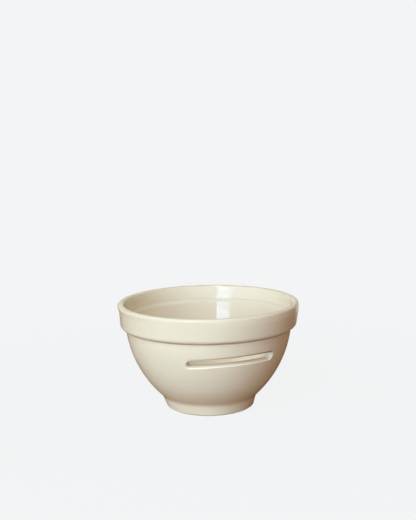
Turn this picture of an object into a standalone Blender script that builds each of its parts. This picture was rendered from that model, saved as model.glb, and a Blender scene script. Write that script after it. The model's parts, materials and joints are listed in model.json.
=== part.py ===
"""Egg separator bowl: a small glazed stoneware pot with a heavy collar and one long slot through its wall.

An egg is broken into the pot. The white runs out through the slot when the pot is tipped, and the yolk,
which is far wider than the slot is high, stays behind.

The pot stands on z = 0, centred on the Z axis, with the slot facing -Y. Lengths are in metres.
"""

import math

import bmesh
import bpy
from mathutils import Vector

MM = 0.001

# Outside of the finished, glazed pot
RIM_DIAMETER = 114.7 * MM
HEIGHT = 68.0 * MM
FOOT_DIAMETER = 55.6 * MM
FOOT_HEIGHT = 7.8 * MM
FOOT_LEAN = 2.7 * MM
COVE_ROUND = 6.0 * MM
WALL_CURVE = 70.0 * MM
COLLAR_HEIGHT = 15.9 * MM
COLLAR_STEP = 3.15 * MM
COLLAR_FLARE = 1.2 * MM
COLLAR_ROUND = 3.0 * MM
COLLAR_SEAT_ROUND = 0.5 * MM
LIP_OVERHANG = 0.4 * MM
LIP_HEIGHT = 2.0 * MM
LIP_BLEND = 2.8 * MM
LIP_WIDTH = 3.8 * MM
LIP_NECK_ROUND = 4.0 * MM
LIP_BLEND_ROUND = 2.0 * MM
LIP_OUTER_ROUND = 1.6 * MM
LIP_INNER_ROUND = 1.5 * MM

# Inside of the finished pot, its wall measured at the gauge level
WALL = 4.3 * MM
WALL_GAUGE_LEVEL = 20.0 * MM
INSIDE_CURVE = 125.0 * MM
MOUTH_LEAN = 1.5 * MM
LEDGE_DEPTH = 8.5 * MM
LEDGE_DROP = 2.4 * MM
LEDGE_WIDTH = 1.8 * MM
LEDGE_ROUND = 2.0 * MM
LEDGE_EDGE_ROUND = 1.6 * MM
FLOOR_HEIGHT = 9.0 * MM
FLOOR_ROUND = 28.0 * MM

# Underside of the bare clay
FOOT_RING = 4.5 * MM
FOOT_EDGE_ROUND = 0.5 * MM
WELL_DEPTH = 3.0 * MM
WELL_LEAN = 0.8 * MM
WELL_ROUND = 1.8 * MM

# Slot of the finished pot, its length measured round the wall
SLOT_LENGTH = 58.5 * MM
SLOT_HEIGHT = 5.0 * MM
SLOT_LEVEL = 41.2 * MM
SLOT_ARCH = 1.05 * MM
SLOT_TILT = math.radians(1.2)
SLOT_EDGE_ROUND = 0.8 * MM

# Glaze: how thick it lies, the gap that keeps it off the clay, and how far up the foot it is wiped away
GLAZE = 0.5 * MM
GLAZE_SEAT = 0.1 * MM
GLAZE_LINE = 0.7 * MM

# Fineness of the facets
TURN_STEPS = 48
ROUND_STEP = math.radians(36.0)
WALL_STEP = math.radians(7.0)
SLOT_STATIONS = 12
SLOT_END_STEPS = 3
SLOT_EDGE_ANGLES = (30.0, 60.0, 90.0)
MERGE = 0.001 * MM

# How far a cutter runs past the surface that it cuts
CUT_PAST = 1.0 * MM

# Sizes that follow from those above
RIM_RADIUS = RIM_DIAMETER / 2
COAT = GLAZE + GLAZE_SEAT
COLLAR_LEVEL = HEIGHT - COLLAR_HEIGHT
COLLAR_TOP_RADIUS = RIM_RADIUS - LIP_OVERHANG
COLLAR_BASE_RADIUS = COLLAR_TOP_RADIUS - COLLAR_FLARE
NECK_LEVEL = HEIGHT - LIP_HEIGHT - LIP_BLEND
LEDGE_ROOT = Vector((RIM_RADIUS - LIP_WIDTH - MOUTH_LEAN, HEIGHT - LEDGE_DEPTH))
LEDGE_EDGE = LEDGE_ROOT - Vector((LEDGE_WIDTH, LEDGE_DROP))
WALL_FOOT = Vector((FOOT_DIAMETER / 2 + FOOT_LEAN, FOOT_HEIGHT))
WALL_TOP = Vector((COLLAR_BASE_RADIUS - COLLAR_STEP, COLLAR_LEVEL))


def arc_centre(start, end, radius):
    """The centre, on the axis side, of the arc of this radius that runs up from start to end."""
    chord = end - start
    reach = math.sqrt(radius**2 - (chord.length / 2) ** 2)
    return (start + end) / 2 + reach * Vector((-chord.y, chord.x)).normalized()


def radius_at(height, centre, curve):
    """Radius of the pot at a height, on the right of an arc."""
    return centre.x + math.sqrt(curve**2 - (height - centre.y) ** 2)


WALL_CENTRE = arc_centre(WALL_FOOT, WALL_TOP, WALL_CURVE)
WALL_GAUGE = Vector((radius_at(WALL_GAUGE_LEVEL, WALL_CENTRE, WALL_CURVE - WALL), WALL_GAUGE_LEVEL))
INSIDE_CENTRE = arc_centre(WALL_GAUGE, LEDGE_EDGE, INSIDE_CURVE)


def wall_radius(height, depth):
    """Radius in the wall at a height: its outside at depth 0, its inside at the depth of the wall."""
    outer = radius_at(height, WALL_CENTRE, WALL_CURVE)
    inner = radius_at(height, INSIDE_CENTRE, INSIDE_CURVE)
    return outer + (inner - outer) * depth / WALL


def arc(centre, radius, first, last, step):
    """Points on an arc from angle first to angle last, both included."""
    count = max(1, round(abs(last - first) / step))
    angles = [first + (last - first) * i / count for i in range(count + 1)]
    return [centre + radius * Vector((math.cos(a), math.sin(a))) for a in angles]


def rounded(corners):
    """The path through (point, radius) corners, with each corner that has a radius turned into an arc."""
    path = []
    for i, (corner, radius) in enumerate(corners):
        if not radius:
            path.append(corner)
            continue
        before = (corners[i - 1][0] - corner).normalized()
        after = (corners[i + 1][0] - corner).normalized()
        half = before.angle(after) / 2
        middle = (before + after).normalized()
        centre = corner + middle * radius / math.sin(half)
        spokes = [corner + side * radius / math.tan(half) - centre for side in (before, after)]
        first = math.atan2(spokes[0].y, spokes[0].x)
        sweep = spokes[1].angle_signed(spokes[0])
        path += arc(centre, radius, first, first + sweep, ROUND_STEP)
    return path


def sunk(path, depth):
    """The path moved this far into the clay, which lies to the right of its direction."""
    sides = [(b - a).normalized() for a, b in zip(path, path[1:])]
    normals = [Vector((side.y, -side.x)) for side in sides]
    pairs = zip([normals[0]] + normals, normals + [normals[-1]])
    return [point + depth * (a + b) / (1 + a.dot(b)) for point, (a, b) in zip(path, pairs)]


def ended_at(path, height):
    """The path with its last straight run lengthened or shortened to end at a height."""
    a, b = path[-2:]
    return path[:-1] + [a + (b - a) * (height - a.y) / (b.y - a.y)]


def inside_path():
    """The finished inside, from the middle of the floor up to the edge of the ledge."""
    rise = FLOOR_HEIGHT + FLOOR_ROUND - INSIDE_CENTRE.y
    reach = math.sqrt((INSIDE_CURVE - FLOOR_ROUND) ** 2 - rise**2)
    floor_centre = INSIDE_CENTRE + Vector((reach, rise))
    turn = (floor_centre - INSIDE_CENTRE).angle_signed(Vector((1, 0)))
    ledge = math.asin((LEDGE_EDGE.y - INSIDE_CENTRE.y) / INSIDE_CURVE)
    floor = arc(floor_centre, FLOOR_ROUND, -math.pi / 2, turn, ROUND_STEP / 2)
    wall = arc(INSIDE_CENTRE, INSIDE_CURVE, turn, ledge, WALL_STEP / 2)
    return [Vector((0, FLOOR_HEIGHT))] + floor + wall[1:]


def outside_path():
    """The finished wall outside, from the collar's base down to the top of the foot."""
    spokes = [point - WALL_CENTRE for point in (WALL_TOP, WALL_FOOT)]
    first, last = (math.atan2(spoke.y, spoke.x) for spoke in spokes)
    return arc(WALL_CENTRE, WALL_CURVE, first, last, WALL_STEP)


def finished_path():
    """Half the section of the glazed pot: up the inside, over the lip and down the outside to the floor."""
    inside = inside_path()
    outside = outside_path()
    corners = [(point, 0) for point in inside[:-1]]
    corners += [
        (LEDGE_EDGE, LEDGE_EDGE_ROUND),
        (LEDGE_ROOT, LEDGE_ROUND),
        (Vector((RIM_RADIUS - LIP_WIDTH, HEIGHT)), LIP_INNER_ROUND),
        (Vector((RIM_RADIUS, HEIGHT)), LIP_OUTER_ROUND),
        (Vector((RIM_RADIUS, HEIGHT - LIP_HEIGHT)), LIP_BLEND_ROUND),
        (Vector((COLLAR_TOP_RADIUS, NECK_LEVEL)), LIP_NECK_ROUND),
        (Vector((COLLAR_BASE_RADIUS, COLLAR_LEVEL)), COLLAR_ROUND),
        (outside[0], COLLAR_SEAT_ROUND),
    ]
    corners += [(point, 0) for point in outside[1:-1]]
    corners += [(outside[-1], COVE_ROUND), (Vector((FOOT_DIAMETER / 2, 0)), 0)]
    return rounded(corners)


def well_path():
    """The clay of the recess under the base, from the foot ring's inner edge to the middle."""
    ring_inside = FOOT_DIAMETER / 2 - COAT - FOOT_RING
    corners = [
        (Vector((ring_inside, 0)), 0),
        (Vector((ring_inside - WELL_LEAN, WELL_DEPTH)), WELL_ROUND),
        (Vector((0, WELL_DEPTH)), 0),
    ]
    return rounded(corners)


def clay_path():
    """Half the section of the bare clay, foot ring and well included."""
    shell = ended_at(sunk(finished_path(), COAT), 0)
    well = well_path()
    corners = [(point, 0) for point in shell + well]
    for standing_edge in (len(shell) - 1, len(shell)):
        corners[standing_edge] = (corners[standing_edge][0], FOOT_EDGE_ROUND)
    return rounded(corners)


def well_glaze_path():
    """Half the section of the glaze in the well: out along the clay, down to the wiped ring, and back."""
    against_clay, below = (ended_at(sunk(well_path(), -gap)[::-1], GLAZE_LINE) for gap in (GLAZE_SEAT, COAT))
    return against_clay + below[::-1]


def new_collection(name):
    collection = bpy.data.collections.new(name)
    bpy.context.scene.collection.children.link(collection)
    return collection


def new_object(name, mesh, collection):
    item = bpy.data.objects.new(name, mesh)
    collection.objects.link(item)
    if collection.hide_render:
        item.hide_render = True
        item.display_type = "WIRE"
    return item


def turned(name, path, collection):
    """A solid of revolution about Z from half its section, whose two ends lie on the axis."""
    mesh = bpy.data.meshes.new(name)
    edges = [(i, i + 1) for i in range(len(path) - 1)]
    mesh.from_pydata([(point.x, 0, point.y) for point in path], edges, [])
    item = new_object(name, mesh, collection)
    screw = item.modifiers.new("turn", "SCREW")
    screw.axis = "Z"
    screw.steps = screw.render_steps = TURN_STEPS
    screw.use_merge_vertices = True
    screw.merge_threshold = MERGE
    return item


def cut(item, cutter):
    boolean = item.modifiers.new(cutter.name, "BOOLEAN")
    boolean.operation = "DIFFERENCE"
    boolean.object = cutter


def slot_outline(grow):
    """(distance round the wall, height above the slot's middle) along the slot's upper half, left to right."""
    half_height = SLOT_HEIGHT / 2
    run = SLOT_LENGTH / 2 - half_height
    radius = half_height + grow
    quarter = [math.pi / 2 * i / SLOT_END_STEPS for i in range(SLOT_END_STEPS)]
    left = [(-run - radius * math.cos(a), radius * math.sin(a)) for a in quarter]
    middle = [(run * (2 * i / SLOT_STATIONS - 1), radius) for i in range(SLOT_STATIONS + 1)]
    right = [(run + radius * math.cos(a), radius * math.sin(a)) for a in reversed(quarter)]
    return left + middle + right


def slot_point(along, above, depth):
    """A point of the slot in space: square to the leaning wall, arched a little and a touch out of level."""
    outer, inner = (wall_radius(SLOT_LEVEL, d) for d in (0, WALL))
    lean = (WALL_CENTRE.y - SLOT_LEVEL) / (outer - WALL_CENTRE.x)
    rise = (depth / WALL - 0.5) * (outer - inner) * lean
    arch = SLOT_ARCH * (2 * along / SLOT_LENGTH) ** 2
    height = SLOT_LEVEL + above + along * math.tan(SLOT_TILT) - arch + rise
    radius = wall_radius(height, depth)
    turn = along / outer - math.pi / 2
    return radius * math.cos(turn), radius * math.sin(turn), height


def slot_sections(sink):
    """(depth in the wall, growth of the outline) from outside to inside, for a surface sunk this far."""
    edge = SLOT_EDGE_ROUND - sink
    mouth = []
    for degrees in SLOT_EDGE_ANGLES:
        a = math.radians(degrees)
        mouth.append((sink + edge * (1 - math.cos(a)), sink + edge * (1 - math.sin(a))))
    first = math.radians(SLOT_EDGE_ANGLES[0])
    reach = mouth[0][0] + CUT_PAST
    mouth.insert(0, (-CUT_PAST, mouth[0][1] + reach / math.tan(first)))
    return mouth + [(WALL - depth, grow) for depth, grow in reversed(mouth)]


def slot_cutter(name, sink, collection):
    """A loft of slot outlines through the wall, flared at both mouths for the soft, wiped edge of wet clay."""
    mesh = bmesh.new()
    rings = []
    for depth, grow in slot_sections(sink):
        upper = slot_outline(grow)
        lower = [(along, -above) for along, above in upper[-2:0:-1]]
        rings.append([mesh.verts.new(slot_point(*place, depth)) for place in upper + lower])
    for outer, inner in zip(rings, rings[1:]):
        for i in range(len(outer)):
            mesh.faces.new((outer[i - 1], outer[i], inner[i], inner[i - 1]))
    for ring in (rings[0], rings[-1]):
        count = len(ring)
        for i in range(count // 2):
            corners = (ring[i], ring[i + 1], ring[(count - i - 1) % count], ring[(count - i) % count])
            mesh.faces.new(dict.fromkeys(corners))
    bmesh.ops.recalc_face_normals(mesh, faces=mesh.faces)
    data = bpy.data.meshes.new(name)
    mesh.to_mesh(data)
    mesh.free()
    return new_object(name, data, collection)


def new_material(name, colour, roughness, coat):
    material = bpy.data.materials.new(name)
    material.use_nodes = True
    shader = material.node_tree.nodes["Principled BSDF"]
    shader.inputs["Base Color"].default_value = (*colour, 1)
    shader.inputs["Roughness"].default_value = roughness
    shader.inputs["Metallic"].default_value = 0
    shader.inputs["Coat Weight"].default_value = coat
    material.diffuse_color = (*colour, 1)
    return material


def stoneware_body(parts, cutters):
    """The fired clay: one slip-cast pot with its collar, ledge, slot and foot ring."""
    body = turned("stoneware_body", clay_path(), parts)
    cut(body, slot_cutter("slot_in_clay", COAT, cutters))
    body.data.materials.append(new_material("bare_stoneware", (0.66, 0.53, 0.38), 0.8, 0))
    return body


def glaze_coat(parts, cutters):
    """The glaze in one sheet: floor, inside, lip, outside down to the wiped foot, and the slot's lining."""
    finished = finished_path()
    skin = ended_at(finished, GLAZE_LINE)
    coat = turned("glaze_coat", skin + [Vector((0, GLAZE_LINE))], parts)
    core_path = ended_at(sunk(finished, GLAZE), -CUT_PAST)
    core = turned("clay_core", core_path + [Vector((0, -CUT_PAST))], cutters)
    cut(core, slot_cutter("slot_in_core", GLAZE, cutters))
    cut(coat, slot_cutter("slot_in_glaze", 0, cutters))
    cut(coat, core)
    coat.data.materials.append(new_material("cream_glaze", (0.79, 0.76, 0.62), 0.12, 1))
    return coat


def well_glaze(parts):
    """The pool of glaze in the recess under the base, inside the bare ring that the pot stands on."""
    pool = turned("well_glaze", well_glaze_path(), parts)
    pool.data.materials.append(new_material("well_cream_glaze", (0.79, 0.76, 0.62), 0.15, 1))
    return pool


def main():
    for item in list(bpy.data.objects):
        bpy.data.objects.remove(item)
    parts = new_collection("egg_separator_bowl")
    cutters = new_collection("cutters")
    cutters.hide_render = True
    pot = bpy.data.objects.new("egg_separator", None)
    parts.objects.link(pot)
    for piece in (stoneware_body(parts, cutters), glaze_coat(parts, cutters), well_glaze(parts)):
        piece.parent = pot


main()
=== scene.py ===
# %% [markdown]
# # A glazed egg separator bowl
# This lesson dresses a small stoneware bowl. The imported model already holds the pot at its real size, as
# flat facets: the fired clay, the cream glaze that covers it, and the patch of glaze under its base. Here
# the same three skins are turned again in fine, even quads, so that the gloss runs smoothly over the lip
# and round the slot, and each gets a finish of its own. Lengths are in metres, and +Z is up.

# %% Load the frame
import json
import math

import bpy
import numpy as np
from mathutils import Matrix, Vector

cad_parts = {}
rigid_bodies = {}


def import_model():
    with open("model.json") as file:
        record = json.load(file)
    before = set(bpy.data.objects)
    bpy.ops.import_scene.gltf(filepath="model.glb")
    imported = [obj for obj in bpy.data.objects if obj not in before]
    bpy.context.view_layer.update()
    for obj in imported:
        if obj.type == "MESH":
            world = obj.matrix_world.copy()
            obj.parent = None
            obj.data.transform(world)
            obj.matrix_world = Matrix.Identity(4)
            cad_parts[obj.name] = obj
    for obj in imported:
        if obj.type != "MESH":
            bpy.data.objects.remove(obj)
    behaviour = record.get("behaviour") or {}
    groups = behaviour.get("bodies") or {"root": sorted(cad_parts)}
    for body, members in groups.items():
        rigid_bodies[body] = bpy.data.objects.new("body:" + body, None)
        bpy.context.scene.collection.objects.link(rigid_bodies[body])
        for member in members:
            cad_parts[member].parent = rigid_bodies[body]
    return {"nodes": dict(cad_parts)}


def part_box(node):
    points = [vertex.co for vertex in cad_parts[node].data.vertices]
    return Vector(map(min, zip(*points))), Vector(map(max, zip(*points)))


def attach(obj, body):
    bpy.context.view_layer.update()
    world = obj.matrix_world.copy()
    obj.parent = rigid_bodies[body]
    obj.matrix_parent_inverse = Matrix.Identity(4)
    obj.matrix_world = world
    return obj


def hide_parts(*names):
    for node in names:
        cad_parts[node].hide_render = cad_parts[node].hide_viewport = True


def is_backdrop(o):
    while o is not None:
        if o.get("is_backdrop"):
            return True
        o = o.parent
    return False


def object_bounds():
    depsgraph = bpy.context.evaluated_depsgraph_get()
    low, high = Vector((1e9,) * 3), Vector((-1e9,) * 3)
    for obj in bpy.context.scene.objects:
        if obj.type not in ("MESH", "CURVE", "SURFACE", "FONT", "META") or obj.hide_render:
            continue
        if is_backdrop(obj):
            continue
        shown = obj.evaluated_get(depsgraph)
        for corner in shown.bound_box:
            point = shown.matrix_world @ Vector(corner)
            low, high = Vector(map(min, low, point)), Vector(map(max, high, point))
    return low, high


for item in list(bpy.data.objects):
    bpy.data.objects.remove(item)
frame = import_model()
cad_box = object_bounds()
MM = 0.001
GLAZE_LOW, GLAZE_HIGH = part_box("glaze_coat")
RIM_RADIUS = GLAZE_HIGH.x
HEIGHT = GLAZE_HIGH.z
GLAZE_LINE = GLAZE_LOW.z
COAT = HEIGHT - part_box("stoneware_body")[1].z
print(f"{len(frame['nodes'])} nodes, pot {2000 * RIM_RADIUS:.1f} mm across and {1000 * HEIGHT:.1f} mm high")
print(f"the coat of glaze takes {1000 * COAT:.2f} mm, and ends {1000 * GLAZE_LINE:.2f} mm above the floor")

# %% [markdown]
# ## The camera
# The camera comes first, because every later choice is judged through it. The picture's frame is upright,
# with the bowl below its middle. A lens shift puts it there without tipping the camera, so the sides of
# the bowl keep the angles that they have in the photograph. The slot faces -Y, and the camera stands a
# little to the left of it. Lamps are placed later by the same two helpers, so their angles start at the
# camera's.

# %% Places round the bowl
CAMERA_AZIMUTH = math.radians(-17.05)
BOWL_MIDDLE = Vector((0, 0, HEIGHT / 2))


def around(azimuth, elevation, distance):
    """A point seen from the bowl's middle. Its azimuth starts at the camera's and grows to the right."""
    turn = CAMERA_AZIMUTH + azimuth
    level = distance * math.cos(elevation)
    place = Vector((level * math.sin(turn), -level * math.cos(turn), distance * math.sin(elevation)))
    return BOWL_MIDDLE + place


def facing(place, target, roll=0.0):
    """The matrix that puts something at a place, looking down its own -Z at a target."""
    back = (place - target).normalized()
    right = Vector((0, 0, 1)).cross(back).normalized()
    up = back.cross(right)
    turned_right = right * math.cos(roll) - up * math.sin(roll)
    turned_up = right * math.sin(roll) + up * math.cos(roll)
    matrix = Matrix((turned_right, turned_up, back)).transposed().to_4x4()
    matrix.translation = place
    return matrix


print(f"everything looks at a point {1000 * BOWL_MIDDLE.z:.1f} mm above the floor")

# %% Camera
PHOTO_WIDTH, PHOTO_HEIGHT = 416, 520
BOWL_MIDDLE_X, BOWL_MIDDLE_Y = 208.98, 352.59
FOCAL_PIXELS = 986.6
SENSOR = 36.0
CAMERA_DISTANCE = 0.6346
CAMERA_ELEVATION = math.radians(14.26)
CAMERA_ROLL = math.radians(1.0)

camera_data = bpy.data.cameras.new("camera")
camera_data.sensor_fit = "VERTICAL"
camera_data.sensor_height = SENSOR
camera_data.lens = SENSOR * FOCAL_PIXELS / PHOTO_HEIGHT
camera_data.shift_x = (PHOTO_WIDTH / 2 - BOWL_MIDDLE_X) / PHOTO_HEIGHT
camera_data.shift_y = (BOWL_MIDDLE_Y - PHOTO_HEIGHT / 2) / PHOTO_HEIGHT
camera = bpy.data.objects.new("camera", camera_data)
bpy.context.scene.collection.objects.link(camera)
camera.matrix_world = facing(around(0, CAMERA_ELEVATION, CAMERA_DISTANCE), BOWL_MIDDLE, CAMERA_ROLL)
bpy.context.scene.camera = camera
print(f"lens {camera_data.lens:.1f} mm, shift {camera_data.shift_x:.4f}, {camera_data.shift_y:.4f}")

# %% [markdown]
# ## The section of the pot
# A potter draws a bowl as half a section: floor, inside wall, ledge, lip, collar, outside wall and foot.
# The same drawing serves all three skins, because the clay and the back of the glaze are this outline
# sunk a fraction of a millimetre. It could be a curve object turned by a modifier, but the slot has to be
# woven into the grid later, so the outline is kept as plain points that code can reach.

# %% Sizes of foot, wall and collar
FOOT_RADIUS = 27.8 * MM
FOOT_HEIGHT = 7.8 * MM
FOOT_LEAN = 2.7 * MM
COVE_ROUND = 6.0 * MM
WALL_CURVE = 70.0 * MM
WALL = 4.3 * MM
WALL_GAUGE_LEVEL = 20.0 * MM
COLLAR_LEVEL = HEIGHT - 15.9 * MM
COLLAR_STEP = 3.15 * MM
COLLAR_FLARE = 1.2 * MM
COLLAR_ROUND = 3.0 * MM
COLLAR_SEAT_ROUND = 0.5 * MM
print(f"foot {2000 * FOOT_RADIUS:.1f} mm across, collar from {1000 * COLLAR_LEVEL:.1f} mm up")

# %% Sizes of lip, ledge and floor
LIP_OVERHANG = 0.4 * MM
LIP_HEIGHT = 2.0 * MM
LIP_BLEND = 2.8 * MM
LIP_WIDTH = 3.8 * MM
LIP_NECK_ROUND = 4.0 * MM
LIP_BLEND_ROUND = 2.0 * MM
LIP_OUTER_ROUND = 1.6 * MM
LIP_INNER_ROUND = 1.5 * MM
MOUTH_LEAN = 1.5 * MM
LEDGE_LEVEL = HEIGHT - 8.5 * MM
LEDGE_DROP = 2.4 * MM
LEDGE_WIDTH = 1.8 * MM
LEDGE_ROUND = 2.0 * MM
LEDGE_EDGE_ROUND = 1.6 * MM
INSIDE_CURVE = 125.0 * MM
FLOOR_HEIGHT = 9.0 * MM
FLOOR_ROUND = 28.0 * MM
COLLAR_TOP_RADIUS = RIM_RADIUS - LIP_OVERHANG
COLLAR_BASE_RADIUS = COLLAR_TOP_RADIUS - COLLAR_FLARE
NECK_LEVEL = HEIGHT - LIP_HEIGHT - LIP_BLEND
print(f"mouth {2000 * (RIM_RADIUS - LIP_WIDTH):.1f} mm across, floor {1000 * FLOOR_HEIGHT:.1f} mm up")

# %% The two faces of the wall


def arc_centre(start, end, radius):
    """The centre, on the axis side, of the arc of this radius that runs up from start to end."""
    chord = end - start
    reach = math.sqrt(radius**2 - (chord.length / 2) ** 2)
    return (start + end) / 2 + reach * Vector((-chord.y, chord.x)).normalized()


def radius_at(height, centre, radius):
    """Distance from the axis at which an arc passes a height."""
    return centre.x + math.sqrt(radius**2 - (height - centre.y) ** 2)


WALL_FOOT = Vector((FOOT_RADIUS + FOOT_LEAN, FOOT_HEIGHT))
WALL_TOP = Vector((COLLAR_BASE_RADIUS - COLLAR_STEP, COLLAR_LEVEL))
WALL_CENTRE = arc_centre(WALL_FOOT, WALL_TOP, WALL_CURVE)
WALL_GAUGE = Vector((radius_at(WALL_GAUGE_LEVEL, WALL_CENTRE, WALL_CURVE - WALL), WALL_GAUGE_LEVEL))
LIP_INSIDE = Vector((RIM_RADIUS - LIP_WIDTH, HEIGHT))
LEDGE_ROOT = Vector((RIM_RADIUS - LIP_WIDTH - MOUTH_LEAN, LEDGE_LEVEL))
LEDGE_EDGE = LEDGE_ROOT - Vector((LEDGE_WIDTH, LEDGE_DROP))
OUTSIDE = (WALL_CENTRE, WALL_CURVE)
INSIDE = (arc_centre(WALL_GAUGE, LEDGE_EDGE, INSIDE_CURVE), INSIDE_CURVE)


def wall_radius(height, depth):
    """Radius in the wall at a height, from its outside at depth 0 to its inside at the wall's own depth."""
    outer, inner = (radius_at(height, *face) for face in (OUTSIDE, INSIDE))
    return outer + (inner - outer) * depth / WALL


def wall_point(height, depth):
    return Vector((wall_radius(height, depth), height))


print(f"outside wall from {1000 * WALL_FOOT.x:.1f} to {1000 * WALL_TOP.x:.1f} mm off the axis")

# %% Arcs, rounded corners and sunk outlines
ROUND_STEP = math.radians(11.0)
WALL_STEP = 1.3 * MM


def arc(centre, radius, first, last, count):
    angles = [first + (last - first) * i / count for i in range(count + 1)]
    return [centre + radius * Vector((math.cos(a), math.sin(a))) for a in angles]


def wall_run(start, end, face):
    """Points up or down one face of the wall from one height to another, both ends included."""
    centre, radius = face
    first, last = (math.asin((height - centre.y) / radius) for height in (start, end))
    count = max(1, round(abs(last - first) * radius / WALL_STEP))
    return arc(centre, radius, first, last, count)


def rounded(corners):
    """The path through (point, radius) corners, with each corner that has a radius turned into an arc."""
    path = []
    for i, (corner, radius) in enumerate(corners):
        if not radius:
            path.append(corner)
            continue
        before = (corners[i - 1][0] - corner).normalized()
        after = (corners[i + 1][0] - corner).normalized()
        half = before.angle(after) / 2
        centre = corner + (before + after).normalized() * radius / math.sin(half)
        spokes = [corner + side * radius / math.tan(half) - centre for side in (before, after)]
        first = math.atan2(spokes[0].y, spokes[0].x)
        sweep = spokes[1].angle_signed(spokes[0])
        path += arc(centre, radius, first, first + sweep, max(2, round(abs(sweep) / ROUND_STEP)))
    return path


def sunk(path, depth):
    """The path moved this far into the clay, which lies to the right of its direction."""
    sides = [(b - a).normalized() for a, b in zip(path, path[1:])]
    normals = [Vector((side.y, -side.x)) for side in sides]
    pairs = zip([normals[0]] + normals, normals + [normals[-1]])
    return [point + depth * (a + b) / (1 + a.dot(b)) for point, (a, b) in zip(path, pairs)]


print(f"the outside wall takes {len(wall_run(FOOT_HEIGHT, COLLAR_LEVEL, OUTSIDE))} points")

# %% Floor and inside wall
FLOOR_RINGS = 8
PATCH_LOW = 31.5 * MM
PATCH_HIGH = 47.5 * MM
PATCH_ROWS = 12


def patch_run(start, end, depth):
    """The stretch of wall that the slot is woven into, in a fixed number of rows."""
    rise = (end - start) / PATCH_ROWS
    return [wall_point(start + rise * i, depth) for i in range(PATCH_ROWS + 1)]


def inside_outline():
    """Floor with its rounding, wall below the slot's patch, the patch, and wall up to the ledge's edge."""
    wall_centre, wall_curve = INSIDE
    rise = FLOOR_HEIGHT + FLOOR_ROUND - wall_centre.y
    centre = wall_centre + Vector((math.sqrt((wall_curve - FLOOR_ROUND) ** 2 - rise**2), rise))
    turn = (centre - wall_centre).angle_signed(Vector((1, 0)))
    count = round(FLOOR_ROUND * (turn + math.pi / 2) / WALL_STEP)
    floor = [Vector((centre.x * i / FLOOR_RINGS, FLOOR_HEIGHT)) for i in range(FLOOR_RINGS)]
    round_floor = arc(centre, FLOOR_ROUND, -math.pi / 2, turn, count)
    below = wall_run(round_floor[-1].y, PATCH_LOW, INSIDE)
    above = wall_run(PATCH_HIGH, LEDGE_EDGE.y, INSIDE)
    return floor + round_floor, below[1:-1], patch_run(PATCH_LOW, PATCH_HIGH, WALL), above[1:]


print("inside, from floor to ledge:", [len(part) for part in inside_outline()], "points")

# %% [markdown]
# ## The inside of the mouth
# Between the ledge and the lip, the inside of the mouth is almost straight. A turning hand leaves a faint
# wave in it, less than a tenth of a millimetre deep, and that alone bends the ends of the softbox's
# reflection there. A bump texture could give such a wave. Since it runs level all the way round, it is
# simply drawn into the section, and the mirror image follows by itself.

# %% Mouth wall
MOUTH_ROWS = 10
MOUTH_FROM = 0.08
MOUTH_TO = 0.83
MOUTH_WAVE = 0.068 * MM


def mouth_wall():
    """Points up the inside of the mouth, which is not quite straight between its two roundings."""
    up = LIP_INSIDE - LEDGE_ROOT
    points = []
    for k in range(MOUTH_ROWS + 1):
        share = k / MOUTH_ROWS
        spot = LEDGE_ROOT + up * (MOUTH_FROM + (MOUTH_TO - MOUTH_FROM) * share)
        points.append(spot + Vector((MOUTH_WAVE * math.sin(2 * math.pi * share), 0)))
    return points


print(f"mouth wall in {len(mouth_wall())} points, waving {1000 * MOUTH_WAVE:.3f} mm to each side")

# %% The finished outline


def rim_corners(seat):
    """(point, radius) corners over the rim, from the edge of the ledge to the collar's seat on the wall."""
    return [
        (LEDGE_EDGE, LEDGE_EDGE_ROUND),
        (LEDGE_ROOT, LEDGE_ROUND),
        *((point, 0) for point in mouth_wall()),
        (LIP_INSIDE, LIP_INNER_ROUND),
        (Vector((RIM_RADIUS, HEIGHT)), LIP_OUTER_ROUND),
        (Vector((RIM_RADIUS, HEIGHT - LIP_HEIGHT)), LIP_BLEND_ROUND),
        (Vector((COLLAR_TOP_RADIUS, NECK_LEVEL)), LIP_NECK_ROUND),
        (Vector((COLLAR_BASE_RADIUS, COLLAR_LEVEL)), COLLAR_ROUND),
        (seat, COLLAR_SEAT_ROUND),
    ]


def finished_outline():
    """(points, first row of the inside patch, first row of the outside patch), from floor to foot."""
    floor, below, inner_patch, above = inside_outline()
    outer_above = wall_run(COLLAR_LEVEL, PATCH_HIGH, OUTSIDE)
    outer_patch = patch_run(PATCH_HIGH, PATCH_LOW, 0)
    outer_below = wall_run(PATCH_LOW, FOOT_HEIGHT, OUTSIDE)
    start = [(point, 0) for point in floor + below + inner_patch + above[:-1]]
    middle = [(point, 0) for point in outer_above[1:-1]]
    before = rounded(start + rim_corners(outer_above[0]) + middle + [(outer_patch[0], 0)])[:-1]
    foot = [(outer_below[-1], COVE_ROUND), (Vector((FOOT_RADIUS, 0)), 0)]
    after = rounded([(point, 0) for point in outer_below[1:-2]] + foot)
    return before + outer_patch + after, len(floor) + len(below), len(before)


OUTLINE, INNER_ROW, OUTER_ROW = finished_outline()
print(f"outline of {len(OUTLINE)} points, slot rows from {INNER_ROW} inside and {OUTER_ROW} outside")

# %% [markdown]
# ## The slot
# The slot is what makes the bowl a separator: white runs through it, and a yolk cannot. A maker cuts it in
# the damp clay and wipes its edges round with a sponge, so it has no sharp corner anywhere. A Boolean cut
# would leave long thin triangles there, which spoil a glossy surface. So the grid of the wall is opened
# over a patch, and rings of quads lead from the edge of the patch to the mouth, round the soft edge,
# through the wall and out again inside. It also arches a little and is a touch out of level.

# %% Outline of the slot
PATCH_SIDE = 20
SLOT_LENGTH = 58.5 * MM
SLOT_HEIGHT = 5.0 * MM
SLOT_END = SLOT_HEIGHT / 2
SLOT_RUN = SLOT_LENGTH / 2 - SLOT_END


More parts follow.
